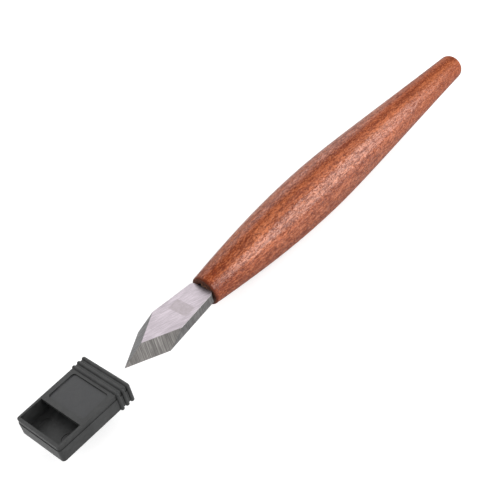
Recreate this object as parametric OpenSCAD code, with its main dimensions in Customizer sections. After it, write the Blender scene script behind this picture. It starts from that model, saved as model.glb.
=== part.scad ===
// Marking knife: a turned wooden handle, a spear point blade with a hidden tang,
// and a push-on plastic guard, shown pulled off just ahead of the tip.
// The knife points along +X with its bevels up, and Y is across the blade.
// The origin is on the blade's flat back, midway between the handle and the tip.

/* [Handle] */
// Length of the handle from its flat nose to the top of its domed butt
handle_len = 148.5; // [120:0.5:180]
// Diameter of the nose, where the blade leaves the handle
nose_d = 10.8; // [10.6:0.1:13]
// Largest diameter
belly_d = 18.9; // [15:0.1:26]
// Diameter just ahead of the rounded butt
butt_d = 9.8; // [8:0.1:13]
// Distance from the nose to the largest diameter
belly_x = 58; // [45:1:70]
// Radius round the rim of the nose
nose_round = 0.7; // [0.2:0.1:1]
// Radius round the rim of the butt
butt_round = 2.3; // [1:0.1:3.5]
// Height of the dome on the butt
butt_dome = 0.6; // [0.3:0.1:1.2]

/* [Tang] */
// Diameter of the hole drilled in the nose
bore_d = 6.6; // [6.4:0.1:7.6]
// Room between the end of the tang and the drill point of the hole
bore_play = 2; // [1:0.5:8]
// Height of the drill point at the bottom of the hole
drill_point = 1.9; // [1:0.1:2.5]
// Width of the tang
tang_w = 5; // [3.5:0.1:5.2]
// How much thinner the tang is ground than the blade, on each face
tang_grind = 0.15; // [0.05:0.05:0.4]
// Length of the tang inside the handle
tang_len = 44; // [35:0.5:45]
// Chamfer on the corners at the end of the tang
tang_chamfer = 0.8; // [0.4:0.1:1.2]
// Depth from the nose to the adhesive that beds the tang
bedding_recess = 1.8; // [1:0.1:4]

/* [Blade] */
// Length of the blade from the nose to the tip
blade_len = 36.5; // [32:0.5:44]
// Largest width, at the back corners of the point
blade_w = 14.5; // [12:0.1:15.5]
// Width where the blade meets the nose
shoulder_w = 9.3; // [8:0.1:9.6]
// Thickness
blade_t = 3.5; // [3:0.1:3.8]
// Distance from the tip back to the largest width
point_len = 12.9; // [11:0.1:16]
// Width of each ground bevel, seen from above
bevel_w = 4.1; // [3:0.1:5]
// Radius of the two corners at the nose
shoulder_round = 1.5; // [0.5:0.1:2]
// Height of the blade's middle above the axis of the handle
blade_lift = 0.4; // [0:0.1:0.5]

/* [Guard] */
// Length of the guard
guard_len = 27.6; // [26:0.2:31]
// Thickness of its front and back walls
guard_wall = 1.1; // [0.8:0.1:1.6]
// Thickness of its side walls at the mouth
side_wall = 1.1; // [0.8:0.1:1.6]
// Thickness of the closed end
end_wall = 1.2; // [0.8:0.1:2]
// Clearance above and below the blade
face_play = 0.4; // [0.3:0.05:0.7]
// Clearance on each side of the blade at its widest
side_play = 1.45; // [0.5:0.05:2]
// Clearance between the tip and the closed end when the guard is pushed home
tip_play = 0.2; // [0.1:0.05:0.5]
// Gap between the tip and the mouth when the guard is pulled off
off_gap = 5.8; // [3:0.2:12]
// How much each side leans in from the mouth to the closed end
draft = 0.25; // [0:0.05:0.5]
// Radius of the corners of the closed end
end_round = 1.1; // [0.6:0.1:2]
// Chamfer along the outer edges
edge_chamfer = 0.45; // [0.2:0.05:0.7]
// Depth of the front rim, down to the step in the sides
rim_depth = 1.7; // [1.2:0.1:2.5]
// How far the front rim is set in from the sides
rim_step = 0.2; // [0.1:0.05:0.4]

/* [Guard window, panel and ribs] */
// Length of the window, next to the closed end
window_len = 8.1; // [6:0.1:9]
// Length of the bar between the window and the panel
bar_len = 1.7; // [1.2:0.1:2.2]
// Length of the recessed panel
panel_len = 10.4; // [8:0.1:11]
// Width of the recessed panel
panel_w = 15.6; // [12:0.1:16.4]
// Depth of the recessed panel
panel_depth = 0.35; // [0.2:0.05:0.5]
// Radius of the corners of the panel
panel_round = 1; // [0.5:0.1:2]
// Number of grip ribs round the mouth
rib_count = 3; // [2:1:3]
// Distance from one rib to the next
rib_pitch = 2; // [1.6:0.1:2.1]
// Width of a rib
rib_w = 1.25; // [0.9:0.05:1.4]
// Height of a rib above the walls
rib_proud = 0.55; // [0.3:0.05:0.8]
// Diameter of the round moulding mark inside, under the window
mark_d = 4; // [2.5:0.1:5]
// Depth of that mark
mark_depth = 0.15; // [0.1:0.05:0.3]
// Distance of the mark from the middle of the guard
mark_y = 4.9; // [3:0.1:5]
// Distance of the mark from the inside of the closed end
mark_x = 4.6; // [3:0.1:5]

/* [Hidden] */
$fn = 72;

// Smallest overrun of a cut past the face that it opens
over = 0.5;
// Thickness of the slices that a hull joins
slice = 0.01;

// Places along X: the nose, the tip, and the guard's mouth and closed end
nose_x = -blade_len / 2;
tip_x = blade_len / 2;
mouth_x = tip_x + off_gap;
guard_end_x = mouth_x + guard_len;

// The handle's axis lies a little below the middle of the blade
axis_z = blade_t / 2 - blade_lift;
bore_depth = tang_len + bore_play;

// The handle's outline is two Bezier curves that meet level at the belly.
// The shares say how far the curves' handles reach, as a share of the stretch they are in.
nose_slope_share = 0.125;
nose_reach_share = 0.4;
belly_front_reach_share = 0.32;
belly_back_reach_share = 0.21;
butt_reach_share = 0.51;
butt_slope_share = 0.053;
curve_steps = 12;
round_steps = 5;

// Point of a cubic Bezier curve through a and d, with control points b and c
function bezier(a, b, c, d, t) =
    pow(1 - t, 3) * a + 3 * pow(1 - t, 2) * t * b + 3 * (1 - t) * t * t * c + t * t * t * d;

// Points of an arc about a centre, from one angle to another
function arc(centre, r, from, to, steps) =
    [for (i = [0:steps]) let (a = from + (to - from) * i / steps) centre + r * [cos(a), sin(a)]];

// The outline of half the handle, as [radius, distance from the nose]
nose_edge = [nose_d / 2, nose_round];
belly_point = [belly_d / 2, belly_x];
butt_edge = [butt_d / 2, handle_len - butt_dome - butt_round];
front_run = belly_x - nose_round;
back_run = butt_edge[1] - belly_x;
nose_reach = front_run * nose_reach_share;
butt_reach = back_run * butt_reach_share;
front_points = [for (i = [1:curve_steps]) bezier(
    nose_edge,
    nose_edge + [nose_reach * nose_slope_share, nose_reach],
    belly_point - [0, front_run * belly_front_reach_share],
    belly_point, i / curve_steps)];
back_points = [for (i = [1:curve_steps]) bezier(
    belly_point,
    belly_point + [0, back_run * belly_back_reach_share],
    butt_edge + [butt_reach * butt_slope_share, -butt_reach],
    butt_edge, i / curve_steps)];
nose_points = arc([nose_d / 2 - nose_round, nose_round], nose_round, -90, 0, round_steps);
dome_w = butt_d / 2 - butt_round;
butt_points = arc([dome_w, handle_len - butt_dome - butt_round], butt_round, 0, 90, round_steps);
dome_points = [for (i = [1:round_steps]) let (s = 1 - i / round_steps)
    [dome_w * s, handle_len - butt_dome * s * s]];
handle_outline = concat([[0, 0]], nose_points, front_points, back_points,
    [for (i = [1:round_steps]) butt_points[i]], dome_points);

// Turns a shape that is built along +Z so that it runs back from the nose along -X
module behind_nose() {
    translate([nose_x, 0, axis_z]) rotate([0, -90, 0]) children();
}

// The drilled hole, from ahead of a depth down to its drill point
module tang_hole(from, run_out) {
    behind_nose() {
        translate([0, 0, from - run_out]) cylinder(d = bore_d, h = bore_depth - from + run_out);
        translate([0, 0, bore_depth]) cylinder(d1 = bore_d, d2 = 0, h = drill_point);
    }
}

module handle() {
    color([0.72, 0.40, 0.27])
    difference() {
        behind_nose() rotate_extrude() polygon(handle_outline);
        tang_hole(0, over);
    }
}

// The tang in plan, from inside the root of the blade to its chamfered end
tang_root_x = nose_x + shoulder_round;
tang_outline = [
    [tang_root_x, -tang_w / 2], [tang_root_x, tang_w / 2],
    [nose_x - tang_len + tang_chamfer, tang_w / 2],
    [nose_x - tang_len, tang_w / 2 - tang_chamfer],
    [nose_x - tang_len, -tang_w / 2 + tang_chamfer],
    [nose_x - tang_len + tang_chamfer, -tang_w / 2]];

module tang() {
    translate([0, 0, tang_grind]) linear_extrude(blade_t - 2 * tang_grind) polygon(tang_outline);
}

// Adhesive round the tang, set back from the mouth of the hole
module tang_bedding() {
    color([0.30, 0.22, 0.16])
    difference() {
        tang_hole(bedding_recess, 0);
        tang();
    }
}

// The blade's sides lean out from the shoulder to the widest point
side_run = blade_len - point_len;
side_angle = atan((blade_w - shoulder_w) / 2 / side_run);
point_angle = atan(blade_w / 2 / point_len);
// Centre of the rounded corner that touches both the nose and the leaning side
corner_y = shoulder_w / 2 + shoulder_round * (sin(side_angle) - 1) / cos(side_angle);
shoulder_arc = arc([nose_x + shoulder_round, corner_y], shoulder_round,
    180, 90 + side_angle, round_steps);
widest_x = nose_x + side_run;
blade_half = concat(shoulder_arc, [[widest_x, blade_w / 2], [tip_x, 0]]);
blade_outline = concat(blade_half,
    [for (i = [len(blade_half) - 2:-1:0]) [blade_half[i][0], -blade_half[i][1]]]);

// Section of what a bevel takes off: it starts at the cutting edge on the flat back
bevel_rise = over;
bevel_section = [
    [0, 0], [bevel_w * (1 + bevel_rise / blade_t), blade_t + bevel_rise],
    [-over, blade_t + bevel_rise], [-over, 0]];
edge_len = point_len / cos(point_angle);
// The cut runs on past the tip and past the widest point, clear of the sides
cut_run = edge_len + 2 * bevel_w + 2 * over;

// Takes one bevel off the side of the blade that lies towards +Y
module bevel_cut() {
    translate([tip_x, 0, 0]) rotate([0, 0, 180 - point_angle])
        translate([-bevel_w - over, 0, 0]) rotate([90, 0, 90])
            linear_extrude(cut_run) polygon(bevel_section);
}

module blade() {
    color([0.72, 0.72, 0.70])
    union() {
        difference() {
            linear_extrude(blade_t) polygon(blade_outline);
            bevel_cut();
            mirror([0, 1, 0]) bevel_cut();
        }
        tang();
    }
}

// The guard's hollow and its outer faces follow from the blade
hollow_t = blade_t + 2 * face_play;
hollow_w = blade_w + 2 * side_play;
guard_w = hollow_w + 2 * side_wall;
hollow_z = -face_play;
guard_z = hollow_z - guard_wall;
guard_t = hollow_t + 2 * guard_wall;
guard_top = guard_z + guard_t;
hollow_end_x = guard_end_x - end_wall;
window_x = hollow_end_x - window_len;
panel_x = window_x - bar_len - panel_len;
corner_steps = 4;
rib_steps = 6;

// Plan of the guard, set in all round but at the mouth, with rounded corners at its end
function guard_plan(inset) =
    let (half = guard_w / 2 - inset, lean = draft, r = end_round, x1 = guard_end_x - inset,
         y1 = half - lean)
    concat([[mouth_x, -half]],
        arc([x1 - r, -y1 + r], r, -90, 0, corner_steps),
        arc([x1 - r, y1 - r], r, 0, 90, corner_steps),
        [[mouth_x, half]]);

// A slab of the guard's plan between two heights
module plan_slab(inset, z0, z1) {
    translate([0, 0, z0]) linear_extrude(z1 - z0) polygon(guard_plan(inset));
}

// A chamfered tier: full size over its height, and set in at a face that is chamfered
module tier(inset, z0, z1, low_chamfer, high_chamfer) {
    hull() {
        plan_slab(inset, z0 + low_chamfer, z1 - high_chamfer);
        plan_slab(inset + low_chamfer, z0, z0 + slice);
        plan_slab(inset + high_chamfer, z1 - slice, z1);
    }
}

// Section of the guard across its length, grown outward by a margin and centred on the hollow
function section_points(grow) =
    let (hy = guard_w / 2 + grow, hz = guard_t / 2 + grow, r = edge_chamfer + grow)
    concat(
        arc([hy - r, -hz + r], r, -90, 0, corner_steps),
        arc([hy - r, hz - r], r, 0, 90, corner_steps),
        arc([-hy + r, hz - r], r, 90, 180, corner_steps),
        arc([-hy + r, -hz + r], r, 180, 270, corner_steps));

// A thin slice of that section at a place along X
module section_slice(x, grow) {
    translate([x, 0, guard_z + guard_t / 2]) rotate([90, 0, 90])
        linear_extrude(slice) polygon(section_points(grow));
}

// A rounded rib right round the guard, from one place along X: its crown is an arc,
// and steps of equal angle cross it
module rib(x) {
    hull() for (i = [0:rib_steps]) let (a = 180 * i / rib_steps)
        section_slice(x + (rib_w - slice) * (1 - cos(a)) / 2, rib_proud * sin(a));
}

// A rectangle in plan with rounded corners, from a place along X
module rounded_plate(x, length, width, r, height) {
    linear_extrude(height) polygon(concat(
        arc([x + r, -width / 2 + r], r, 180, 270, corner_steps),
        arc([x + length - r, -width / 2 + r], r, 270, 360, corner_steps),
        arc([x + length - r, width / 2 - r], r, 0, 90, corner_steps),
        arc([x + r, width / 2 - r], r, 90, 180, corner_steps)));
}

// The space for the blade, open at the mouth, and the window over it
module guard_hollow() {
    translate([mouth_x - over, -hollow_w / 2, hollow_z])
        cube([hollow_end_x - mouth_x + over, hollow_w, hollow_t]);
    translate([window_x, -hollow_w / 2, hollow_z])
        cube([window_len, hollow_w, guard_top - hollow_z + over]);
}

module blade_guard() {
    color([0.27, 0.27, 0.28])
    difference() {
        union() {
            tier(0, guard_z, guard_top - rim_depth, edge_chamfer, 0);
            tier(rim_step, guard_top - rim_depth - over, guard_top, 0, edge_chamfer);
            for (i = [0:rib_count - 1]) rib(mouth_x + i * rib_pitch);
        }
        guard_hollow();
        translate([0, 0, guard_top - panel_depth])
            rounded_plate(panel_x, panel_len, panel_w, panel_round, panel_depth + over);
        translate([hollow_end_x - mark_x, mark_y, hollow_z - mark_depth])
            cylinder(d = mark_d, h = mark_depth + over);
    }
}

handle();
tang_bedding();
blade();
blade_guard();
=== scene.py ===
"""Dresses a marking knife: turned wooden handle, spear point blade, bedded tang and push-on guard.

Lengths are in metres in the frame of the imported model. The knife points along +X with its bevels up.
"""

import logging
import math
import random
from dataclasses import dataclass, field
from enum import Enum
from typing import Any, Callable, Sequence

import bpy
from mathutils import Matrix, Vector


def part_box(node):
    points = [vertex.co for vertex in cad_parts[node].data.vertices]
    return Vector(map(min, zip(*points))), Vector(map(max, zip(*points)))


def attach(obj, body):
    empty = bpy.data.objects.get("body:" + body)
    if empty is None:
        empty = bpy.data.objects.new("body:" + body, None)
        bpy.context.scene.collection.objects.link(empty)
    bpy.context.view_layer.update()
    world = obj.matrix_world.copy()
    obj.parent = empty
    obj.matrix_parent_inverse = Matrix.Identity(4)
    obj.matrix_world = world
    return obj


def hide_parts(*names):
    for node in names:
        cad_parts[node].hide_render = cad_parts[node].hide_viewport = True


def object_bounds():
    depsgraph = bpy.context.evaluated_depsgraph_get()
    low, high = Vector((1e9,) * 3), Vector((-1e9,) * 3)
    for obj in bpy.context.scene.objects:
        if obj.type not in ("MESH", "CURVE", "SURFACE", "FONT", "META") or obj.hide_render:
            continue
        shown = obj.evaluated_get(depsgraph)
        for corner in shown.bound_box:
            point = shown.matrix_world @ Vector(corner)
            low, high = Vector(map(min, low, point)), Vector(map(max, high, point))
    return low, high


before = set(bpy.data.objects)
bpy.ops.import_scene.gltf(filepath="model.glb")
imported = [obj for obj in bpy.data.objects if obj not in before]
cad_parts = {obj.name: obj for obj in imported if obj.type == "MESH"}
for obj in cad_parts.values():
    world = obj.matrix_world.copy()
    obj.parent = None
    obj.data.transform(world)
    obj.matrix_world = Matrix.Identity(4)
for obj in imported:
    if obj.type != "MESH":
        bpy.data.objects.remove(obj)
cad_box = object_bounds()

MM = 0.001
TINY = 0.01 * MM
ALONG = 0.99  # the least part of a normal along the axis that its face looks along
Triple = tuple[float, float, float]
Colour = Triple
Span = tuple[float, float]
Socket = bpy.types.NodeSocket
Source = Socket | float | Triple
Piece = bpy.types.Object
Material = bpy.types.Material
log = logging.getLogger("marking_knife")


class Body(str, Enum):
    """The rigid bodies of the knife."""

    KNIFE = "knife"
    GUARD = "guard"


class Slot(str, Enum):
    """The record's material slots of the pieces that are modelled here."""

    WOOD = "handle_wood"
    STEEL = "blade_steel"
    PLASTIC = "guard_plastic"


class Side(Enum):
    """The two sides of the knife, as signs along Y."""

    LEFT = -1
    RIGHT = 1


class Finish(Enum):
    """The ground finishes of the blade, in the order of its material slots. The far bevel and the sides have
    darker tones as painted shade.
    """

    FACE = 0
    NEAR_BEVEL = 1
    FAR_BEVEL = 2
    SIDE = 3
    BACK = 4
    EDGE = 5


class Bench:
    """Modelling steps that every piece shares. A piece is active when its parts are picked."""

    @staticmethod
    def clear() -> None:
        """Deselects everything, as the loaded nodes come in selected."""
        bpy.ops.object.select_all(action="DESELECT")

    @staticmethod
    def take(piece: Piece) -> None:
        """Makes one piece the only selected and active object.

        Args:
            piece: the object to work on.
        """
        Bench.clear()
        piece.select_set(True)
        bpy.context.view_layer.objects.active = piece

    @staticmethod
    def settle(name: str) -> Piece:
        """Names the active object and moves its place into its mesh.

        Args:
            name: the piece's name.

        Returns:
            The object, at the origin, unturned and unscaled.
        """
        piece = bpy.context.active_object
        piece.name = name
        piece.data.name = name
        bpy.ops.object.transform_apply(location=True, rotation=True, scale=True)
        return piece

    @staticmethod
    def block(name: str, low: Vector, high: Vector) -> Piece:
        """Adds a block between two corners.

        Args:
            name: the piece's name.
            low: its lowest corner.
            high: its highest corner.

        Returns:
            The new object.
        """
        Bench.clear()
        bpy.ops.mesh.primitive_cube_add(size=1, location=(low + high) / 2, scale=high - low)
        return Bench.settle(name)

    @staticmethod
    def edit(mode: str) -> None:
        """Enters edit mode, selecting by VERT, EDGE or FACE."""
        bpy.context.tool_settings.mesh_select_mode = [mode == kind for kind in ("VERT", "EDGE", "FACE")]
        bpy.ops.object.mode_set(mode="EDIT")

    @staticmethod
    def edit_all(mode: str) -> None:
        """Enters edit mode with the whole of the active object selected."""
        Bench.edit(mode)
        bpy.ops.mesh.select_all(action="SELECT")

    @staticmethod
    def done() -> None:
        """Leaves edit mode."""
        bpy.ops.object.mode_set(mode="OBJECT")

    @staticmethod
    def pick(piece: Piece, mode: str, test: Callable[..., bool]) -> None:
        """Enters edit mode with the parts of a piece that pass a test selected.

        Args:
            piece: the object.
            mode: VERT, EDGE or FACE.
            test: takes a vertex's place, the places of an edge's two ends, or a face's centre and normal.
        """
        mesh, points = piece.data, piece.data.vertices
        for group in (points, mesh.edges, mesh.polygons):
            group.foreach_set("select", [False] * len(group))
        if mode == "VERT":
            for vertex in points:
                vertex.select = test(vertex.co)
        elif mode == "FACE":
            for face in mesh.polygons:
                face.select = test(face.center, face.normal)
        else:
            for edge in mesh.edges:
                a, b = (points[i] for i in edge.vertices)
                edge.select = test(a.co, b.co)
                if edge.select:
                    a.select = b.select = True
        Bench.edit(mode)

    @staticmethod
    def bevel(
        piece: Piece, test: Callable[[Vector, Vector], bool], width: float, segments: int,
        slot: int = -1,
    ) -> None:
        """Rounds the edges that pass a test.

        Args:
            piece: the object.
            test: takes the places of an edge's two ends.
            width: the width of the bevel in metres.
            segments: the number of its facets.
            slot: the material slot of its faces, or -1 for that of the faces beside it.
        """
        Bench.pick(piece, "EDGE", test)
        bpy.ops.mesh.bevel(offset=width, segments=segments, affect="EDGES", material=slot)
        Bench.done()

    @staticmethod
    def trim(piece: Piece, point: Vector, normal: Vector, cut_off: bool = True) -> None:
        """Cuts a piece along a plane.

        Args:
            piece: the object.
            point: a point on the plane.
            normal: the plane's normal.
            cut_off: whether the side that the normal points to is taken off, or only a line is cut.
        """
        Bench.take(piece)
        Bench.edit_all("FACE")
        bpy.ops.mesh.bisect(plane_co=point, plane_no=normal, use_fill=cut_off, clear_outer=cut_off)
        Bench.done()

    @staticmethod
    def modify(piece: Piece, kind: str, **settings: Any) -> None:
        """Adds a modifier to a piece and applies it.

        Args:
            piece: the object.
            kind: the modifier's type.
            settings: the modifier's settings.
        """
        Bench.take(piece)
        modifier = piece.modifiers.new(kind.lower(), kind)
        for name, value in settings.items():
            setattr(modifier, name, value)
        bpy.ops.object.modifier_apply(modifier=modifier.name)

    @staticmethod
    def boolean(piece: Piece, tool: Piece, operation: str) -> None:
        """Joins a tool to a piece with UNION or cuts it out with DIFFERENCE, and removes the tool."""
        Bench.modify(piece, "BOOLEAN", operation=operation, solver="EXACT", object=tool)
        bpy.data.objects.remove(tool)

    @staticmethod
    def close(piece: Piece, smooth_angle: float, level_flats: bool = False) -> None:
        """Merges doubles, points the faces outwards and smooths all but the sharp edges.

        Args:
            piece: the object.
            smooth_angle: the angle in degrees past which an edge stays sharp.
            level_flats: whether large flat faces keep their own shading up to their rounded edges.
        """
        Bench.take(piece)
        Bench.edit_all("VERT")
        bpy.ops.mesh.remove_doubles(threshold=TINY / 10)
        bpy.ops.mesh.normals_make_consistent(inside=False)
        Bench.done()
        bpy.ops.object.shade_smooth_by_angle(angle=math.radians(smooth_angle))
        if level_flats:
            Bench.modify(piece, "WEIGHTED_NORMAL", keep_sharp=True, weight=100)

    @staticmethod
    def hand_in(piece: Piece, body: Body, slot: Slot, *nodes: str) -> Piece:
        """Makes a finished piece ride on its body and stand for its nodes.

        Args:
            piece: the finished object.
            body: the body that it moves with.
            slot: the record's material slot; not used.
            nodes: the nodes that it stands for, if any.

        Returns:
            The same object.
        """
        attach(piece, body.value)
        if nodes:
            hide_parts(*nodes)
        return piece


class NodeGraph:
    """A node tree that is built node by node."""

    def __init__(self, tree: bpy.types.NodeTree) -> None:
        """Takes up a node tree."""
        self.nodes, self.links = tree.nodes, tree.links

    def feed(self, source: Source, socket: Socket) -> None:
        """Links a source to a socket, or sets a constant on it.

        Args:
            source: an output, a number, or three numbers.
            socket: the input.
        """
        if isinstance(source, Socket):
            self.links.new(source, socket)
        elif isinstance(source, tuple):
            socket.default_value = (*source, 1.0)[:len(socket.default_value)]
        else:
            socket.default_value = source

    def add(self, kind: str, out: str | int, inputs: dict[str | int, Source], **settings: str) -> Socket:
        """Adds a node.

        Args:
            kind: its type, without ShaderNode in front.
            out: the output that is wanted.
            inputs: what goes into its inputs.
            settings: its other settings.

        Returns:
            The output.
        """
        node = self.nodes.new(f"ShaderNode{kind}")
        for name, value in settings.items():
            setattr(node, name, value)
        for name, value in inputs.items():
            self.feed(value, node.inputs[name])
        return node.outputs[out]

    def span(self, source: Socket, low: float, high: float, to: Span = (0, 1)) -> Socket:
        """Maps a value from one range to another, clamped.

        Args:
            source: the value.
            low: the value that gives the first result.
            high: the value that gives the second result.
            to: the two results.

        Returns:
            The mapped value.
        """
        ends = {"From Min": low, "From Max": high, "To Min": to[0], "To Max": to[1]}
        return self.add("MapRange", "Result", {"Value": source, **ends})

    def maths(self, operation: str, *values: Socket | float) -> Socket:
        """Takes values through Math nodes of one operation, from the first value on.

        Args:
            operation: the nodes' operation.
            values: one value or more.

        Returns:
            The result.
        """
        result = values[0]
        for value in values[1:] or (0.0,):
            result = self.add("Math", 0, {0: result, 1: value}, operation=operation)
        return result

    def times(self, *values: Socket | float) -> Socket:
        """The product of values."""
        return self.maths("MULTIPLY", *values)

    def most(self, *values: Socket | float) -> Socket:
        """The largest of values."""
        return self.maths("MAXIMUM", *values)

    def rest(self, share: Socket) -> Socket:
        """What a share leaves of one."""
        return self.maths("SUBTRACT", 1.0, share)

    def shown(self) -> Socket:
        """One for a ray that shows the background: from the camera, off gloss or through glass."""
        rays = self.nodes.new("ShaderNodeLightPath").outputs
        return self.most(rays["Is Camera Ray"], rays["Is Glossy Ray"], rays["Is Transmission Ray"])


class FinishTree(NodeGraph):
    """The node tree of one finish, built on Object coordinates."""

    def __init__(self, name: str) -> None:
        """Starts a material.

        Args:
            name: the material's name.
        """
        self.material = bpy.data.materials.new(name)
        self.material.use_nodes = True
        super().__init__(self.material.node_tree)
        self.shader = self.nodes["Principled BSDF"]
        self.place: Socket = self.nodes.new("ShaderNodeTexCoord").outputs["Object"]

    def moved(self, source: Socket, kind: str, value: Triple) -> Socket:
        """Moves, turns or scales coordinates by an amount along each axis: Location, Rotation or Scale."""
        return self.add("Mapping", "Vector", {"Vector": source, kind: value})

    def noise(
        self, repeat: Triple, source: Socket | None = None, detail: float = 3.0,
        rough: float = 0.55, bend: float = 0.0,
    ) -> Socket:
        """Adds noise with its own repeats per metre along each axis.

        Args:
            repeat: repeats per metre along X, Y and Z.
            source: the coordinates, or None for the object's own.
            detail: the number of finer layers.
            rough: the strength of those layers.
            bend: how far the noise distorts itself.

        Returns:
            The noise value.
        """
        where = self.moved(source or self.place, "Scale", repeat)
        settings = {"Scale": 1.0, "Detail": detail, "Roughness": rough, "Distortion": bend}
        return self.add("TexNoise", "Fac", {"Vector": where, **settings})

    def axes(self, source: Socket | None = None) -> tuple[Socket, Socket, Socket]:
        """Splits coordinates into X, Y and Z.

        Args:
            source: the coordinates, or None for the object's own.

        Returns:
            The three values.
        """
        node = self.nodes.new("ShaderNodeSeparateXYZ")
        self.links.new(source or self.place, node.inputs[0])
        return node.outputs[0], node.outputs[1], node.outputs[2]

    def coats(self, base: Source, *coats: tuple[Source, Source]) -> Socket:
        """Lays coats of colour over a base.

        Args:
            base: the colour underneath.
            coats: the share that shows and the colour of each coat, in order.

        Returns:
            The colour that they make.
        """
        colour = base
        for share, tint in coats:
            colour = self.add("Mix", 2, {0: share, 6: colour, 7: tint}, data_type="RGBA")
        return colour

    def relief(
        self, height: Socket, depth: float, strength: float = 1.0, under: Socket | None = None,
    ) -> Socket:
        """Adds a Bump node.

        Args:
            height: the relief, from 0 to 1.
            depth: its depth in metres.
            strength: how strongly it shows.
            under: the relief that it lies on.

        Returns:
            The bumped normal.
        """
        inputs = {"Distance": depth, "Strength": strength, "Height": height}
        if under is not None:
            inputs["Normal"] = under
        return self.add("Bump", "Normal", inputs)

    def set(self, **values: Source) -> Material:
        """Sets the shader's inputs, with an underscore for each space in a name.

        Args:
            values: the inputs and what goes into them.

        Returns:
            The finished material.
        """
        for name, value in values.items():
            self.feed(value, self.shader.inputs[name.replace("_", " ")])
        return self.material


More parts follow.
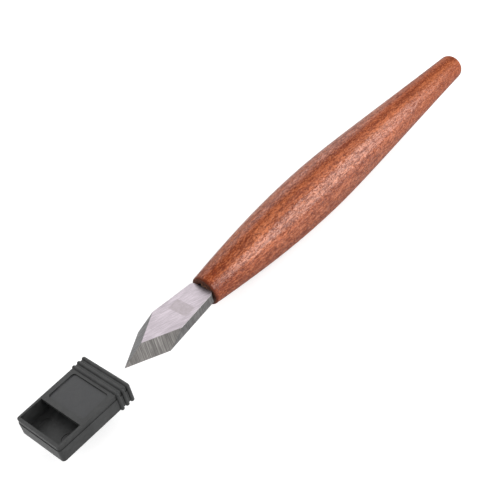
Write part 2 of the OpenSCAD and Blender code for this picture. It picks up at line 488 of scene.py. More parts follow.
@dataclass(frozen=True)
class LacqueredWood:
    """Red-brown hardwood with open pores and a rippled figure under a satin lacquer. Its colour holds
    painted shade: a dark band along the upper side that stands for a dark reflection, and darker wood
    away from the lit side, low down, towards the butt and at the rims of both ends. It is also darker
    towards the nose.

    Each Span holds the two places between which something changes. Those along X count from the nose,
    and butt_at from the butt. The shade band's are along Y and up, low_at and gloss_up are heights, and
    lit_side_at and gloss_at lie towards lit_side.
    """

    nose_x: float
    butt_x: float
    pale: Colour = (0.70, 0.222, 0.088)
    warm: Colour = (0.50, 0.122, 0.040)
    deep: Colour = (0.140, 0.024, 0.009)
    # also the painted shade at the rims of both ends
    pore_and_rim_shade: Colour = (0.105, 0.020, 0.007)
    # a darker colour towards the nose
    nose_dark: Colour = (0.255, 0.046, 0.011)
    # painted shade, for the dark band, the side away from the lights and the butt half
    painted_shade: Colour = (0.190, 0.030, 0.007)
    # the side that the lights fall on; the wood is painted darker away from it
    lit_side: Vector = field(default_factory=lambda: Vector((0.0, 0.78, 0.62)))
    nose_dark_at: Span = (-22 * MM, 0.0)
    # the places of the painted shade at the nose rim and at the butt rim
    rim_at: Span = (-1.3 * MM, -0.39 * MM)
    butt_at: Span = (0.3 * MM, 2.2 * MM)
    # painted shade: the wood is darker towards the butt
    butt_shade_at: Span = (-125 * MM, -55 * MM)
    marks_at: Span = (-140 * MM, -80 * MM)
    # the place of the band of painted shade along the upper side, which stands for a dark reflection
    shade_band_from: Span = (-1.5 * MM, 1.0 * MM)
    shade_band_to: Span = (2.0 * MM, 5.0 * MM)
    shade_band_up: Span = (2.0 * MM, 4.0 * MM)
    lit_side_at: Span = (1.5 * MM, 7.0 * MM)
    low_at: Span = (-1.0 * MM, 4.5 * MM)
    gloss_at: Span = (2.0 * MM, 8.0 * MM)
    gloss_up: Span = (-3.0 * MM, 4.0 * MM)

    def material(self) -> Material:
        """Builds the finish.

        Returns:
            The material.
        """
        tree = FinishTree("lacquered_wood")
        span, times, most = tree.span, tree.times, tree.most
        figure = tree.noise((8, 190, 190), detail=2, rough=0.5, bend=0.4)
        stripe = tree.noise((18, 620, 620), detail=3, rough=0.6, bend=0.2)
        ripple = tree.noise((360, 1300, 1300), detail=2, rough=0.6, bend=0.7)
        wandering = tree.noise((600, 1350, 1350), detail=1, rough=0.5, bend=0.6)
        fleck = tree.noise((900, 2600, 2600), detail=2, rough=0.6)
        pores = tree.noise((1500, 3000, 3000), detail=1, rough=0.5, bend=0.2)
        swell = tree.noise((700, 900, 900), detail=2, rough=0.5)
        x, y, z = tree.axes()

        def along(start: float, place: Span, to: Span) -> Socket:
            """A share that changes along X, between two places counted from a start."""
            return span(x, start + place[0], start + place[1], to)

        off_middle = tree.maths("ABSOLUTE", tree.maths("SUBTRACT", wandering, 0.5))
        vein = span(off_middle, 0.012, 0.055, (1, 0))
        # painted shade: a dark band along the upper side, for the dark reflection of what is overhead
        band = times(span(y, *self.shade_band_from), span(y, *self.shade_band_to, (1, 0)), span(z, *self.shade_band_up))
        streak = times(band, span(stripe, 0.30, 0.55, (0.35, 0.70)))
        facing = tree.maths("ADD", times(y, self.lit_side.y), times(z, self.lit_side.z))
        # painted shade: darker away from the lit side and low down
        away = most(span(facing, *self.lit_side_at, (0.42, 0)), span(z, *self.low_at, (0.85, 0)))
        marks = most(span(ripple, 0.46, 0.58, (0, 0.80)), times(vein, 0.72))
        marked = along(self.nose_x, self.marks_at, (0.55, 1))
        open_pore = span(pores, 0.59, 0.66)
        # painted shade at the nose rim, which also thins the lacquer there
        rim = along(self.nose_x, self.rim_at, (0, 0.85))
        colour = tree.coats(
            self.pale,
            (span(figure, 0.42, 0.60), self.warm),
            # painted shade in the dark band and towards the butt
            (most(streak, along(self.nose_x, self.butt_shade_at, (0.45, 0))), self.painted_shade),
            # painted shade away from the lit side and low down
            (away, self.painted_shade),
            (span(stripe, 0.45, 0.62, (0, 0.60)), self.deep),
            # darker towards the nose
            (along(self.nose_x, self.nose_dark_at, (0, 0.90)), self.nose_dark),
            (times(marks, marked), self.deep),
            (span(fleck, 0.50, 0.62, (0, 0.38)), self.pale),
            (times(open_pore, 0.65), self.pore_and_rim_shade),
            # painted shade at the rims of the nose and the butt
            (most(rim, along(self.butt_x, self.butt_at, (0.75, 0))), self.pore_and_rim_shade),
        )
        normal = tree.relief(tree.maths("ADD", swell, times(ripple, 0.4)), 0.15 * MM, 0.9)
        normal = tree.relief(tree.rest(open_pore), 0.05 * MM, 0.8, normal)
        bare = most(times(open_pore, 0.60), times(marks, 0.65), times(rim, 0.8))
        lacquer = times(
            tree.rest(bare), span(facing, *self.gloss_at, (0.45, 1)), span(z, *self.gloss_up, (0.10, 1)),
            span(band, 0, 1, (1, 0.2)), marked)
        return tree.set(
            Base_Color=colour, Roughness=span(ripple, 0.35, 0.7, (0.42, 0.58)), Normal=normal,
            Specular_IOR_Level=0.04, Coat_Weight=lacquer, Coat_Roughness=0.15, Coat_IOR=1.54,
            Coat_Normal=normal,
        )


@dataclass(frozen=True)
class EndGrain:
    """The bare end grain of the nose, dark in its own colour and darker still as painted shade, and the
    inside of the drilled hole.
    """

    # its own end-grain colour, darkened further as painted shade
    brown: Colour = (0.120, 0.044, 0.024)
    dark: Colour = (0.025, 0.010, 0.007)

    def material(self) -> Material:
        """Builds the finish.

        Returns:
            The material.
        """
        tree = FinishTree("end_grain")
        mottle = tree.noise((900, 900, 1500), detail=4, rough=0.65, bend=0.8)
        vessels = tree.noise((2600, 4200, 4200), detail=2)
        colour = tree.coats(
            self.brown, (tree.span(mottle, 0.40, 0.66), self.dark),
            (tree.span(vessels, 0.60, 0.70, (0, 0.8)), self.dark))
        normal = tree.relief(mottle, 0.16 * MM, 0.8)
        return tree.set(Base_Color=colour, Roughness=0.66, Normal=normal, Specular_IOR_Level=0.15)


@dataclass(frozen=True)
class TornFibre:
    """Pale dry wood fibre, torn up by the drill."""

    pale: Colour = (0.27, 0.125, 0.062)
    dark: Colour = (0.09, 0.036, 0.018)

    def material(self) -> Material:
        """Builds the finish.

        Returns:
            The material.
        """
        tree = FinishTree("torn_fibre")
        tone = tree.noise((2400, 2400, 2400), detail=3)
        colour = tree.coats(self.pale, (tree.span(tone, 0.4, 0.62), self.dark))
        return tree.set(Base_Color=colour, Roughness=0.75, Normal=tree.relief(tone, 0.05 * MM, 0.6))


@dataclass(frozen=True)
class GroundSteel:
    """Surface ground steel with scratches in one direction.

    Args:
        name: the material's name.
        tone: the colour of the metal.
        shade: the colour of its duller streaks.
        turn: the angle in degrees from X to the scratches.
        roughness: the mean roughness.
        width: the width of a scratch in metres.
        streak: how strongly the broad streaks show, from 0 to 1.
        stretch: how many times as long as wide a scratch is.
        cover: the noise values between which the broad streaks set in.
    """

    name: str
    tone: Colour
    shade: Colour
    turn: float
    roughness: float
    width: float = 0.08 * MM
    streak: float = 0.5
    stretch: float = 40.0
    cover: Span = (0.43, 0.58)

    def tree(self) -> tuple[FinishTree, Socket, Socket]:
        """Builds the metal under whatever is etched on it.

        Returns:
            The tree, the metal's colour and its scratched normal.
        """
        tree = FinishTree(self.name)
        along = tree.moved(tree.place, "Rotation", (0, 0, -math.radians(self.turn)))
        across = 0.5 / self.width
        length = across / self.stretch
        fine = tree.noise((length, across, length), along, detail=3, rough=0.6)
        broad = tree.noise((length / 2, across / 2, length / 2), along, detail=3, rough=0.7)
        cloud = tree.noise((120, 160, 160), detail=3, rough=0.5)
        colour = tree.coats(
            self.tone, (tree.span(broad, *self.cover, (0, self.streak)), self.shade),
            (tree.span(fine, 0.45, 0.62, (0, 0.6 * self.streak)), self.shade),
            (tree.span(cloud, 0.42, 0.62, (0, 0.35)), self.shade))
        normal = tree.relief(fine, 0.010 * MM, 0.5)
        normal = tree.relief(broad, 0.03 * MM, 0.45, normal)
        rough = tree.span(fine, 0.3, 0.7, (self.roughness - 0.06, self.roughness + 0.08))
        tree.set(Metallic=1.0, Roughness=rough, Base_Color=colour, Normal=normal)
        return tree, colour, normal

    def material(self) -> Material:
        """Builds the finish.

        Returns:
            The material.
        """
        return self.tree()[0].material


@dataclass(frozen=True)
class EtchedSteel(GroundSteel):
    """Ground steel with one bare frosted rectangle etched into it.

    Args:
        centre: the middle of the rectangle in metres along X and Y.
        size: its length along X and its width along Y in metres.
        frost: the colour of the frosted metal.
        skew: its turn from square in degrees.
        ragged: how far its edge wanders in metres.
        outset: how far the middle of that edge lies outside the rectangle.
        soft: half the width over which the edge fades.
    """

    centre: Span = (0.0, 0.0)
    size: Span = (4.5 * MM, 7.5 * MM)
    frost: Colour = (0.285, 0.254, 0.262)
    skew: float = 2.0
    ragged: float = 0.25 * MM
    outset: float = 0.12 * MM
    soft: float = 0.10 * MM

    def material(self) -> Material:
        """Builds the finish.

        Returns:
            The material.
        """
        tree, colour, normal = self.tree()
        wobble = tree.times(tree.noise((1500, 1500, 1500), detail=3), self.ragged)
        centred = tree.moved(tree.place, "Location", (-self.centre[0], -self.centre[1], 0))
        x, y, _ = tree.axes(tree.moved(centred, "Rotation", (0, 0, -math.radians(self.skew))))
        sides = []
        for value, side in zip((x, y), self.size):
            reach = tree.maths("ADD", tree.maths("ABSOLUTE", value), wobble)
            edge = side / 2 + self.outset
            sides.append(tree.span(reach, edge - self.soft, edge + self.soft, (1, 0)))
        inside = tree.times(*sides)
        grit = tree.noise((3800, 3800, 3800), detail=3, rough=0.7)
        mottle = tree.noise((900, 700, 900), detail=3, rough=0.6, bend=0.8)
        frosted = tree.coats(
            self.frost, (tree.span(grit, 0.35, 0.68, (0, 0.5)), self.shade),
            (tree.span(mottle, 0.42, 0.62, (0, 0.45)), self.tone))
        sunk = tree.relief(tree.rest(inside), 0.03 * MM, 0.7, normal)
        return tree.set(
            Base_Color=tree.coats(colour, (tree.times(inside, 0.9), frosted)),
            Normal=tree.relief(grit, 0.012 * MM, 0.35, sunk),
            Roughness=tree.span(inside, 0, 1, (self.roughness, 0.50)),
        )


@dataclass(frozen=True)
class EdgeGlint:
    """The narrow burnished edges between the ground faces, smoother than them and lighter in tone as a
    painted highlight.
    """

    # painted highlight: lighter than the steel of the faces
    tone: Colour = (0.62, 0.61, 0.60)
    dull: Colour = (0.33, 0.32, 0.31)

    def material(self) -> Material:
        """Builds the finish.

        Returns:
            The material.
        """
        tree = FinishTree("edge_glint")
        wear = tree.noise((900, 900, 900), detail=3)
        colour = tree.coats(self.tone, (tree.span(wear, 0.45, 0.7, (0, 0.7)), self.dull))
        return tree.set(Metallic=1.0, Roughness=0.30, Base_Color=colour)


@dataclass(frozen=True)
class SetAdhesive:
    """Dark set adhesive with a little dust in it."""

    dark: Colour = (0.030, 0.020, 0.014)
    dusty: Colour = (0.080, 0.055, 0.038)

    def material(self) -> Material:
        """Builds the finish.

        Returns:
            The material.
        """
        tree = FinishTree("set_adhesive")
        dust = tree.noise((1800, 1800, 1800), detail=4)
        colour = tree.coats(self.dark, (tree.span(dust, 0.45, 0.68), self.dusty))
        return tree.set(Base_Color=colour, Roughness=0.5, Normal=tree.relief(dust, 0.2 * MM, 0.7))


@dataclass(frozen=True)
class MouldedPlastic:
    """Charcoal plastic from a lightly sparked mould, rubbed paler here and there.

    Args:
        name: the material's name.
        body: the colour of the plastic.
        rubbed: its colour where it is rubbed.
        spark: how strongly the sparked grain shows.
    """

    name: str
    body: Colour = (0.020, 0.0205, 0.0205)
    rubbed: Colour = (0.056, 0.057, 0.057)
    spark: float = 0.8

    def material(self) -> Material:
        """Builds the finish.

        Returns:
            The material.
        """
        tree = FinishTree(self.name)
        grain = tree.noise((3600, 3600, 3600), detail=3, rough=0.6)
        cloud = tree.noise((190, 260, 260), detail=4, rough=0.6, bend=0.4)
        scuff = tree.noise((700, 2600, 2600), detail=3)
        colour = tree.coats(
            self.body, (tree.span(cloud, 0.40, 0.68, (0, 0.55)), self.rubbed),
            (tree.span(scuff, 0.62, 0.74, (0, 0.35)), self.rubbed))
        normal = tree.relief(grain, 0.03 * MM, self.spark)
        rough = tree.span(cloud, 0.35, 0.7, (0.42, 0.54))
        return tree.set(Base_Color=colour, Roughness=rough, Normal=normal, Specular_IOR_Level=0.28)


@dataclass
class KnifeLayout:
    """The places that the pieces share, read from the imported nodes."""

    nose_x: float = field(init=False)
    tip_x: float = field(init=False)
    butt_x: float = field(init=False)
    axis_z: float = field(init=False)
    blade_thickness: float = field(init=False)
    blade_half_width: float = field(init=False)

    def __post_init__(self) -> None:
        """Reads the boxes of the handle and the blade."""
        handle_low, handle_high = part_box("handle")
        blade_low, blade_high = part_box("blade")
        self.nose_x = handle_high.x
        self.butt_x = handle_low.x
        self.axis_z = (handle_low.z + handle_high.z) / 2
        self.tip_x = blade_high.x
        self.blade_thickness = blade_high.z - blade_low.z
        self.blade_half_width = blade_high.y


@dataclass
class TurnedHandle:
    """The handle, turned from one piece of wood and drilled for the tang."""

    layout: KnifeLayout
    nose_radius: float = 5.4 * MM
    belly_radius: float = 9.45 * MM
    butt_radius: float = 4.9 * MM
    belly_back: float = 58 * MM
    nose_round: float = 0.7 * MM
    butt_round: float = 2.3 * MM
    butt_dome: float = 0.6 * MM
    bore_radius: float = 3.3 * MM
    bore_depth: float = 46 * MM
    drill_point: float = 1.9 * MM
    nose_slope: float = 0.125
    butt_slope: float = 0.053
    flat_share: float = 0.55
    nose_reach: float = 0.4
    belly_reaches: Span = (0.32, 0.21)
    butt_reach: float = 0.51
    dome_rings: tuple[float, ...] = (0.8, 0.6, 0.4, 0.2, 0.05)
    face_rings: tuple[float, ...] = (0.35 * MM, 0.8 * MM)
    hole_rings: tuple[float, ...] = (0.4 * MM, 1.0 * MM, 3.0 * MM)
    torn_from: float = 1.6 * MM
    torn_depth: float = 0.5 * MM
    torn_reach: float = 0.16 * MM
    torn_seed: int = 7
    around: int = 160
    curve_steps: int = 26
    round_steps: int = 7

    @staticmethod
    def curve(points: Sequence[Vector], steps: int) -> list[Vector]:
        """Points of a cubic Bezier curve after its first one.

        Args:
            points: its four control points.
            steps: how many points to give.

        Returns:
            The points, the last of them the curve's end.
        """
        a, b, c, d = points
        out = []
        for i in range(1, steps + 1):
            t = i / steps
            s = 1 - t
            out.append(s ** 3 * a + 3 * s * s * t * b + 3 * s * t * t * c + t ** 3 * d)
        return out

    def outline(self) -> list[Vector]:
        """The handle's outline from its nose face to its dome.

        Returns:
            Points as (distance back from the nose, radius).
        """
        length = self.layout.nose_x - self.layout.butt_x
        nose = Vector((self.nose_round, self.nose_radius))
        belly = Vector((self.belly_back, self.belly_radius))
        butt = Vector((length - self.butt_dome - self.butt_round, self.butt_radius))
        front = belly.x - nose.x
        back = butt.x - belly.x
        quarter = [math.pi / 2 * i / self.round_steps for i in range(self.round_steps + 1)]
        points = []
        for a in reversed(quarter):
            points.append(Vector((nose.x * (1 - math.sin(a)), nose.y - nose.x * (1 - math.cos(a)))))
        ahead = self.nose_reach * front
        behind = self.butt_reach * back
        points += self.curve((
            nose, nose + Vector((ahead, ahead * self.nose_slope)),
            belly - Vector((self.belly_reaches[0] * front, 0)), belly), self.curve_steps)
        points += self.curve((
            belly, belly + Vector((self.belly_reaches[1] * back, 0)),
            butt + Vector((-behind, behind * self.butt_slope)), butt), self.curve_steps)
        points += [
            butt + self.butt_round * Vector((math.sin(a), math.cos(a) - 1)) for a in quarter[1:]
        ]
        flat = self.butt_radius - self.butt_round
        points += [Vector((length - self.butt_dome * s * s, flat * s)) for s in self.dome_rings]
        return points

    def spin(self, rings: Sequence[Vector]) -> None:
        """Carries the rim of the hole, which is selected, through rings and closes the last of them.

        Args:
            rings: each ring's (distance back from the nose, radius).
        """
        last = Vector((0, self.bore_radius))
        for ring in rings:
            centre = Vector((self.layout.nose_x - ring.x, 0, self.layout.axis_z))
            factor = ring.y / last.y
            bpy.ops.mesh.extrude_region_move(TRANSFORM_OT_translate={"value": (last.x - ring.x, 0, 0)})
            bpy.ops.transform.resize(value=(1, factor, factor), center_override=centre)
            last = ring
        bpy.ops.mesh.merge(type="CENTER")
        Bench.done()

    def turn(self) -> Piece:
        """Turns the outside, from the rim of the hole over the nose and back to the dome.

        Returns:
            The handle, still open at the hole.
        """
        Bench.clear()
        bpy.ops.mesh.primitive_circle_add(
            vertices=self.around, radius=self.bore_radius, fill_type="NOTHING",
            location=(self.layout.nose_x, 0, self.layout.axis_z), rotation=(0, math.pi / 2, 0))
        handle = Bench.settle("turned_handle")
        Bench.edit_all("VERT")
        face = [Vector((0, self.bore_radius + out)) for out in self.face_rings]
        self.spin(face + self.outline())
        return handle

    def drill(self, handle: Piece) -> None:
        """Sinks the hole from its rim to its drill point.

        Args:
            handle: the turned handle.
        """
        near = self.bore_radius + 5 * TINY
        axis = Vector((self.layout.nose_x, 0, self.layout.axis_z))
        Bench.pick(handle, "VERT", lambda co: (co - axis).length < near)
        walls = [Vector((depth, self.bore_radius)) for depth in (*self.hole_rings, self.bore_depth)]
        self.spin(walls + [Vector((self.bore_depth + self.drill_point, TINY))])

    def tear(self, handle: Piece) -> None:
        """Roughens the rim of the hole where the drill tore the wood.

        Args:
            handle: the drilled handle.
        """
        axis = Vector((self.layout.nose_x, 0, self.layout.axis_z))
        near = self.bore_radius + 10 * TINY

        def torn(co: Vector) -> bool:
            """Whether a vertex is on the rim, in the torn part above the blade."""
            out = co - axis
            return abs(out.x) < self.torn_depth and out.z > self.torn_from and math.hypot(out.y, out.z) < near

        Bench.pick(handle, "VERT", torn)
        bpy.ops.transform.vertex_random(offset=self.torn_reach, seed=self.torn_seed)
        Bench.done()

    def build(self) -> Piece:
        """Builds and dresses the handle.

        Returns:
            The handle.
        """
        handle = self.turn()
        self.drill(handle)
        self.tear(handle)
        Bench.close(handle, smooth_angle=40)
        handle.data.materials.append(LacqueredWood(self.layout.nose_x, self.layout.butt_x).material())
        handle.data.materials.append(EndGrain().material())
        flat = self.nose_radius - self.nose_round * self.flat_share
        hole_end = self.layout.nose_x - self.bore_depth - self.drill_point
        for face in handle.data.polygons:
            reach = math.hypot(face.center.y, face.center.z - self.layout.axis_z)
            on_nose = face.center.x > self.layout.nose_x - self.nose_round and reach < flat
            in_hole = reach < self.bore_radius and face.center.x > hole_end
            if on_nose or in_hole:
                face.material_index = 1
        return Bench.hand_in(handle, Body.KNIFE, Slot.WOOD, "handle")


@dataclass
class TornFibres:
    """Splinters that the drill left standing round the top of the hole.

    Spans are the limits of random draws, in the units of their names, but fan_degrees and rises hold
    a first value and how far it changes. lean and curls are in radians.
    """

    layout: KnifeLayout
    rim_radius: float = 3.3 * MM
    root_depth: float = 0.12 * MM
    count: int = 10
    joints: int = 7
    seed: int = 5
    fan_degrees: Span = (-6.0, 62.0)
    stray_degrees: float = 4.0
    beyond_rim_mm: Span = (-0.05, 0.3)
    radius_mm: Span = (0.10, 0.18)
    length_mm: Span = (0.9, 2.0)
    lean: float = 0.9
    curls: Span = (0.04, 0.24)
    rises: Span = (0.9, 0.35)
    taper: float = 0.80

    def splinter(self, chance: random.Random, index: int) -> Piece:
        """Models one bent and tapered splinter.

        Args:
            chance: the seeded source of the differences between them.
            index: its number.

        Returns:
            The splinter.
        """
        share = index / (self.count - 1)
        first, fan = self.fan_degrees
        stray = chance.uniform(-self.stray_degrees, self.stray_degrees)
        angle = math.radians(first + fan * share + stray)
        radial = Vector((0, math.sin(angle), math.cos(angle)))
        root = Vector((self.layout.nose_x - self.root_depth, 0, self.layout.axis_z))
        root += radial * (self.rim_radius + chance.uniform(*self.beyond_rim_mm) * MM)
        thick = chance.uniform(*self.radius_mm) * MM
        Bench.clear()
        bpy.ops.mesh.primitive_circle_add(
            vertices=6, radius=thick, fill_type="NGON", location=root, rotation=(0, math.pi / 2, 0))
        splinter = Bench.settle(f"splinter_{index}")
        length = chance.uniform(*self.length_mm) * MM
        heading = -angle - math.pi / 2 + chance.uniform(-self.lean, self.lean)
        curl = chance.uniform(*self.curls) * chance.choice((-1, 1))
        Bench.edit_all("FACE")
        place = root.copy()
        for step in range(self.joints):
            rise = self.rises[0] - self.rises[1] * step
            move = Vector((rise, math.cos(heading), math.sin(heading))).normalized() * length / self.joints
            place += move
            heading += curl
            bpy.ops.mesh.extrude_region_move(TRANSFORM_OT_translate={"value": move})
            bpy.ops.transform.resize(value=(self.taper,) * 3, center_override=place)
        Bench.done()
        return splinter

    def build(self) -> Piece:
        """Models the splinters and joins them into one piece.

        Returns:
            The fibres.
        """
        chance = random.Random(self.seed)
        splinters = [self.splinter(chance, i) for i in range(self.count)]
        Bench.clear()
        for splinter in splinters:
            splinter.select_set(True)
        bpy.context.view_layer.objects.active = splinters[0]
        bpy.ops.object.join()
        fibres = Bench.settle("torn_fibres")
        Bench.close(fibres, smooth_angle=60)
        fibres.data.materials.append(TornFibre().material())
        return Bench.hand_in(fibres, Body.KNIFE, Slot.WOOD)


@dataclass
class SpearBlade:
    """The blade and its tang, ground from one flat bar, with both bevels on the upper face."""

    layout: KnifeLayout
    shoulder_half: float = 4.65 * MM
    point: float = 12.9 * MM
    bevel: float = 4.1 * MM
    shoulder_round: float = 1.5 * MM
    tang_half_width: float = 2.5 * MM
    tang_half_thickness: float = 1.6 * MM
    tang_length: float = 44 * MM
    tang_chamfer: float = 0.8 * MM
    tang_inset: float = 0.05 * MM
    edge: float = 0.05 * MM
    bevel_up: float = 0.4
    etch_back: float = 10.5 * MM
    etch_side: float = 0.4 * MM

    @property
    def widest_x(self) -> float:
        """The place of the largest width along X."""
        return self.layout.tip_x - self.point

    @property
    def point_angle(self) -> float:
        """The angle from the centre line to a cutting edge."""
        return math.atan(self.layout.blade_half_width / self.point)

    @property
    def side_angle(self) -> float:
        """The angle from the centre line to a side."""
        run = self.widest_x - self.layout.nose_x
        return math.atan((self.layout.blade_half_width - self.shoulder_half) / run)

    def blank(self) -> Piece:
        """Cuts the bar to the leaning sides and grinds both bevels.

        Returns:
            The blade without its tang.
        """
        half = self.layout.blade_half_width
        thick = self.layout.blade_thickness
        blade = Bench.block(
            "spear_blade", Vector((self.layout.nose_x, -half, 0)), Vector((self.layout.tip_x, half, thick)))
        slope = math.atan(thick / self.bevel)
        for side in Side:
            sign = side.value
            lean = Vector((-math.sin(self.side_angle), sign * math.cos(self.side_angle), 0))
            Bench.trim(blade, Vector((self.layout.nose_x, sign * self.shoulder_half, 0)), lean)
            level = Vector((math.sin(self.point_angle), sign * math.cos(self.point_angle), 0))
            ground = level * math.sin(slope) + Vector((0, 0, math.cos(slope)))
            Bench.trim(blade, Vector((self.layout.tip_x, 0, 0)), ground)
        return blade

    def round_shoulders(self, blade: Piece) -> None:
        """Rounds the two upright corners at the nose.

        Args:
            blade: the ground blank.
        """
        nose = self.layout.nose_x + TINY
        Bench.bevel(
            blade, lambda a, b: max(a.x, b.x) < nose and abs(a.y - b.y) < TINY, self.shoulder_round,
            segments=8)

    def draw_tang(self, blade: Piece) -> None:
        """Draws the tang out of the middle of the shoulder, with a chamfered end.

        Args:
            blade: the blade with its shoulders rounded.
        """
        nose = self.layout.nose_x
        middle = Vector((nose, 0, self.layout.blade_thickness / 2))
        Bench.pick(blade, "FACE", lambda centre, normal: normal.x < -ALONG)
        bpy.ops.mesh.inset(thickness=self.tang_inset)
        inset_half_width = self.shoulder_half - self.shoulder_round - self.tang_inset
        inset_half_thickness = self.layout.blade_thickness / 2 - self.tang_inset
        bpy.ops.transform.resize(
            value=(1, self.tang_half_width / inset_half_width,
                   self.tang_half_thickness / inset_half_thickness),
            center_override=middle)
        straight = self.tang_length - self.tang_chamfer
        bpy.ops.mesh.extrude_region_move(TRANSFORM_OT_translate={"value": (-straight, 0, 0)})
        bpy.ops.mesh.extrude_region_move(TRANSFORM_OT_translate={"value": (-self.tang_chamfer, 0, 0)})
        narrow = 1 - self.tang_chamfer / self.tang_half_width
        bpy.ops.transform.resize(value=(1, narrow, 1), center_override=middle)
        Bench.done()

    def ease_edges(self, blade: Piece) -> None:
        """Takes the sharpness off the upper edges between the shoulder and the bevels.

        Args:
            blade: the blade with its tang.
        """
        nose = self.layout.nose_x - TINY
        level = self.layout.blade_thickness - TINY
        ridge = self.widest_x - self.bevel / math.sin(self.point_angle + self.side_angle) + 10 * TINY

        def eased(a: Vector, b: Vector) -> bool:
            """Whether an edge is one that the maker eased."""
            return min(a.z, b.z) > level and max(a.x, b.x) < ridge and min(a.x, b.x) > nose

        Bench.bevel(blade, eased, self.edge, segments=2, slot=Finish.EDGE.value)

    def finishes(self) -> list[Material]:
        """Builds the blade's finishes.

        Returns:
            Their materials, in the order of Finish.
        """
        across = 90 - math.degrees(self.point_angle)
        flat = {"tone": (0.335, 0.300, 0.325), "shade": (0.205, 0.182, 0.198), "roughness": 0.40}
        face = EtchedSteel(
            name="ground_face", turn=-21, stretch=14,
            centre=(self.layout.nose_x + self.etch_back, self.etch_side), **flat)
        near_bevel = GroundSteel(
            name="near_bevel", tone=(0.325, 0.310, 0.297), shade=(0.101, 0.096, 0.092), turn=across,
            roughness=0.34, width=0.070 * MM, streak=0.75, cover=(0.40, 0.56))
        # painted shade: a darker copy of the steel for the far bevel
        shaded_far_bevel = GroundSteel(
            name="shaded_far_bevel", tone=(0.150, 0.147, 0.149), shade=(0.045, 0.044, 0.045), turn=-across,
            roughness=0.36, width=0.075 * MM, streak=0.75)
        # painted shade: a darker copy of the steel for the sides
        side = GroundSteel(
            name="shaded_ground_side", tone=(0.205, 0.201, 0.199), shade=(0.080, 0.078, 0.077), turn=84,
            roughness=0.42, streak=0.7)
        back = GroundSteel(name="ground_back", turn=-16, stretch=14, **flat)
        order = (face, near_bevel, shaded_far_bevel, side, back, EdgeGlint())
        return [finish.material() for finish in order]

    def finish_of(self, normal: Vector) -> Finish:
        """The finish of a face that looks in a direction.

        Args:
            normal: the face's normal.

        Returns:
            Its finish.
        """
        if normal.z > ALONG:
            return Finish.FACE
        if normal.z > self.bevel_up:
            return Finish.NEAR_BEVEL if normal.y > 0 else Finish.FAR_BEVEL
        return Finish.BACK if normal.z < -ALONG else Finish.SIDE

    def build(self) -> Piece:
        """Builds and dresses the blade.

        Returns:
            The blade.
        """
        blade = self.blank()
        self.round_shoulders(blade)
        self.draw_tang(blade)
        for finish in self.finishes():
            blade.data.materials.append(finish)
        for face in blade.data.polygons:
            face.material_index = self.finish_of(face.normal).value
        self.ease_edges(blade)
        Bench.close(blade, smooth_angle=14, level_flats=True)
        return Bench.hand_in(blade, Body.KNIFE, Slot.STEEL, "blade")


@dataclass
class Bedding:
    """The adhesive round the tang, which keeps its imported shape."""

    finish: SetAdhesive = SetAdhesive()

    def build(self) -> Piece:
        """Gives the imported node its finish.

        Returns:
            The node.
        """
        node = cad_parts["tang_bedding"]
        node.data.materials.clear()
        node.data.materials.append(self.finish.material())
        return node


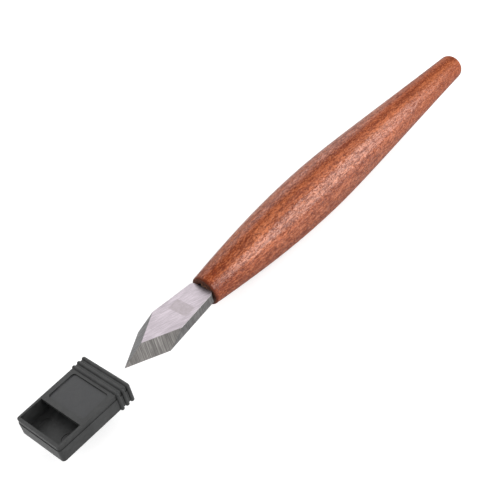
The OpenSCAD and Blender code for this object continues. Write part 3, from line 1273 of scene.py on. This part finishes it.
@dataclass
class BladeGuard:
    """The push-on guard, one moulding with a window, a panel and three ribs."""

    rib_proud: float = 0.55 * MM
    rib_width: float = 1.25 * MM
    rib_pitch: float = 2.0 * MM
    rib_round: float = 0.46
    rib_count: int = 3
    wall: float = 1.1 * MM
    end_wall: float = 1.2 * MM
    draft: float = 0.25 * MM
    end_round: float = 1.1 * MM
    edge_chamfer: float = 0.45 * MM
    rim_depth: float = 1.7 * MM
    rim_step: float = 0.2 * MM
    window_length: float = 8.1 * MM
    bar_length: float = 1.7 * MM
    panel: Vector = field(default_factory=lambda: Vector((10.4, 15.6, 0.35)) * MM)
    panel_round: float = 1.0 * MM
    mark_radius: float = 2.0 * MM
    mark_depth: float = 0.15 * MM
    mark_side: float = 4.9 * MM
    mark_back: float = 4.6 * MM
    softness: float = 0.10 * MM
    overrun: float = 2.0 * MM

    def __post_init__(self) -> None:
        """Reads the moulding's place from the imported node."""
        low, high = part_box("blade_guard")
        grow = Vector((0, self.rib_proud, self.rib_proud))
        self.low = low + grow
        self.high = high - grow

    def shell(self) -> Piece:
        """Shapes the outside: draft, rounded closed end, stepped rim and eased edges.

        Returns:
            The solid moulding without its ribs.
        """
        low, high = self.low, self.high
        end = high.x
        start = low - Vector((self.overrun, 0, 0))
        guard = Bench.block("guard_moulding", start, high + Vector((0, 0, self.rim_step)))
        Bench.pick(guard, "VERT", lambda co: co.x > end - TINY)
        bpy.ops.transform.resize(value=(1, 1 - self.draft / high.y, 1), center_override=(end, 0, 0))
        Bench.done()
        Bench.bevel(
            guard, lambda a, b: min(a.x, b.x) > end - TINY and abs(a.y - b.y) < TINY, self.end_round,
            segments=6)
        step = high.z - self.rim_depth
        Bench.trim(guard, Vector((0, 0, step)), Vector((0, 0, 1)), cut_off=False)
        Bench.pick(guard, "FACE", lambda centre, normal: centre.z > step and normal.x > -0.5)
        bpy.ops.mesh.extrude_region_shrink_fatten(TRANSFORM_OT_shrink_fatten={"value": -self.rim_step})
        Bench.done()
        for level in (low.z, high.z):
            Bench.bevel(
                guard, lambda a, b: max(abs(a.z - level), abs(b.z - level)) < TINY, self.edge_chamfer,
                segments=3)
        Bench.trim(guard, Vector((low.x, 0, 0)), Vector((-1, 0, 0)))
        return guard

    def rib(self, x: float) -> Piece:
        """Models one rounded rib right round the guard.

        Args:
            x: where it starts.

        Returns:
            The rib as a solid.
        """
        grow = self.rib_proud
        low = Vector((x, self.low.y - grow, self.low.z - grow))
        high = Vector((x + self.rib_width, self.high.y + grow, self.high.z + grow))
        rib = Bench.block("rib", low, high)
        Bench.bevel(rib, lambda a, b: abs(a.x - b.x) > TINY, self.edge_chamfer + grow, segments=6)
        Bench.bevel(rib, lambda a, b: abs(a.x - b.x) < TINY, self.rib_width * self.rib_round, segments=5)
        return rib

    def hollow_out(self, guard: Piece) -> None:
        """Cuts the hollow, the window, the panel and the two round moulding marks.

        Args:
            guard: the solid moulding with its ribs.
        """
        low, high = self.low, self.high
        inner_y = high.y - self.wall
        floor = low.z + self.wall
        inner_end = high.x - self.end_wall
        hollow = Bench.block(
            "hollow", Vector((low.x - self.overrun, -inner_y, floor)),
            Vector((inner_end, inner_y, high.z - self.wall)))
        Bench.boolean(guard, hollow, "DIFFERENCE")
        window = Bench.block(
            "window", Vector((inner_end - self.window_length, -inner_y, floor)),
            Vector((inner_end, inner_y, high.z + self.overrun)))
        Bench.boolean(guard, window, "DIFFERENCE")
        panel_end = inner_end - self.window_length - self.bar_length
        panel = Bench.block(
            "panel", Vector((panel_end - self.panel.x, -self.panel.y / 2, high.z - self.panel.z)),
            Vector((panel_end, self.panel.y / 2, high.z + self.overrun)))
        Bench.bevel(panel, lambda a, b: abs(a.z - b.z) > TINY, self.panel_round, segments=6)
        Bench.boolean(guard, panel, "DIFFERENCE")
        for side in reversed(Side):
            Bench.clear()
            bpy.ops.mesh.primitive_cylinder_add(
                vertices=48, radius=self.mark_radius, depth=2 * self.mark_depth,
                location=(inner_end - self.mark_back, side.value * self.mark_side, floor))
            Bench.boolean(guard, Bench.settle("mark"), "DIFFERENCE")

    def build(self) -> Piece:
        """Builds and dresses the guard.

        Returns:
            The guard.
        """
        guard = self.shell()
        for i in range(self.rib_count):
            Bench.boolean(guard, self.rib(self.low.x + i * self.rib_pitch), "UNION")
        self.hollow_out(guard)
        Bench.modify(
            guard, "BEVEL", width=self.softness, segments=2, limit_method="ANGLE",
            angle_limit=math.radians(50), use_clamp_overlap=True)
        Bench.close(guard, smooth_angle=32, level_flats=True)
        guard.data.materials.append(MouldedPlastic("moulded_plastic").material())
        smooth = MouldedPlastic("panel_plastic", body=(0.031, 0.0315, 0.0335), spark=0.4)
        guard.data.materials.append(smooth.material())
        panel_top = self.high.z - self.panel.z + TINY
        for face in guard.data.polygons:
            in_panel = abs(face.center.z - panel_top) < 2 * TINY and face.normal.z > 0.9
            face.material_index = int(in_panel)
        return Bench.hand_in(guard, Body.GUARD, Slot.PLASTIC, "blade_guard")


@dataclass
class Studio:
    """The pale floor, the soft lights and the camera at the photograph's angle.

    white_power is the watts per square metre of a light whose glow is 1. floor_lift is the glow of
    the floor where it shows as background, and ambient the light of the world on the knife.
    """

    camera_place: Vector = field(default_factory=lambda: Vector((114.6, 179.9, 208.3)) * MM)
    target: Vector = field(default_factory=lambda: Vector((-41.0, 0.0, 1.35)) * MM)
    roll: float = math.radians(-12.8)
    lens: float = 68.5
    middle: Vector = field(default_factory=lambda: Vector((-50.0, 0.0, 1.35)) * MM)
    white_power: float = 4.0
    floor_half: float = 40.0
    floor_gap: float = 0.1 * MM
    floor_tone: float = 0.62
    floor_lift: float = 0.60
    ambient: float = 0.31

    @staticmethod
    def hang(name: str, data: bpy.types.ID, place: Vector, axes: Sequence[Vector]) -> Piece:
        """Puts a light or a camera in the scene.

        Args:
            name: its name.
            data: the light or the camera.
            place: where it goes.
            axes: the directions of its own X, Y and Z.

        Returns:
            The object.
        """
        held = bpy.data.objects.new(name, data)
        bpy.context.scene.collection.objects.link(held)
        held.matrix_world = Matrix.Translation(place) @ Matrix(axes).transposed().to_4x4()
        return held

    def soft_box(self, name: str, towards: Vector, size: Span, glow: float) -> None:
        """Hangs a rectangular soft light that faces the knife, its long side level along X.

        Args:
            name: the light's name.
            towards: its place from the middle of the knife, in metres.
            size: its two sides in metres, the first of them along X.
            glow: how bright its face is, where 1 is white.
        """
        light = bpy.data.lights.new(name, "AREA")
        light.shape = "RECTANGLE"
        light.size, light.size_y = size
        light.energy = self.white_power * size[0] * size[1] * glow
        back = towards.normalized()
        along = (Vector((1, 0, 0)) - back * back.x).normalized()
        self.hang(name, light, self.middle + towards, (along, back.cross(along), back))

    def floor(self, bottom: float) -> None:
        """Lays a white floor just under the knife.

        Args:
            bottom: the lowest place of the knife.
        """
        Bench.clear()
        bpy.ops.mesh.primitive_plane_add(size=2 * self.floor_half, location=(0, 0, bottom - self.floor_gap))
        floor = Bench.settle("floor")
        tree = FinishTree("white_floor")
        floor.data.materials.append(tree.set(
            Base_Color=(self.floor_tone,) * 3, Roughness=0.9, Emission_Color=(1.0, 1.0, 1.0),
            Emission_Strength=tree.times(tree.shown(), self.floor_lift)))

    def camera(self) -> None:
        """Sets the camera at the photograph's angle, a little further out to take in the guard."""
        data = bpy.data.cameras.new("photo_camera")
        data.lens = self.lens
        data.clip_start = 0.01
        look = (self.target - self.camera_place).normalized()
        right = look.cross(Vector((0, 0, 1))).normalized()
        up = right.cross(look)
        turned_right = right * math.cos(self.roll) + up * math.sin(self.roll)
        turned_up = up * math.cos(self.roll) - right * math.sin(self.roll)
        axes = (turned_right, turned_up, -look)
        bpy.context.scene.camera = self.hang("photo_camera", data, self.camera_place, axes)

    def world(self) -> None:
        """Lights the knife evenly from all round, under a sky that shows as white."""
        world = bpy.data.worlds.new("studio")
        world.use_nodes = True
        graph = NodeGraph(world.node_tree)
        sky = graph.nodes["Background"].inputs
        graph.feed((1.0, 1.0, 1.0), sky["Color"])
        graph.feed(graph.span(graph.shown(), 0, 1, (self.ambient, 1)), sky["Strength"])
        bpy.context.scene.world = world

    def build(self, bottom: float) -> None:
        """Builds the studio.

        Args:
            bottom: the lowest place of the knife.
        """
        self.world()
        bpy.context.scene.view_settings.view_transform = "Standard"
        self.soft_box("back_box", Vector((-0.27, -0.46, 0.45)), (0.70, 0.42), 1.52)
        self.soft_box("side_strip", Vector((-0.24, 0.43, 0.28)), (0.74, 0.42), 3.15)
        self.soft_box("front_fill", Vector((0.62, -0.04, 0.52)), (0.60, 0.60), 1.5)
        self.floor(bottom)
        self.camera()


def main() -> None:
    """Builds the knife piece by piece and reports each piece, then builds the studio round it."""
    logging.basicConfig(level=logging.INFO, format="%(name)s: %(message)s")
    layout = KnifeLayout()
    for part in (TurnedHandle(layout), TornFibres(layout), SpearBlade(layout), Bedding(), BladeGuard()):
        piece = part.build()
        triangles = sum(len(face.vertices) - 2 for face in piece.data.polygons)
        log.info("%s: %d triangles", piece.name, triangles)
    Studio().build(cad_box[0].z)


if __name__ == "__main__":
    main()
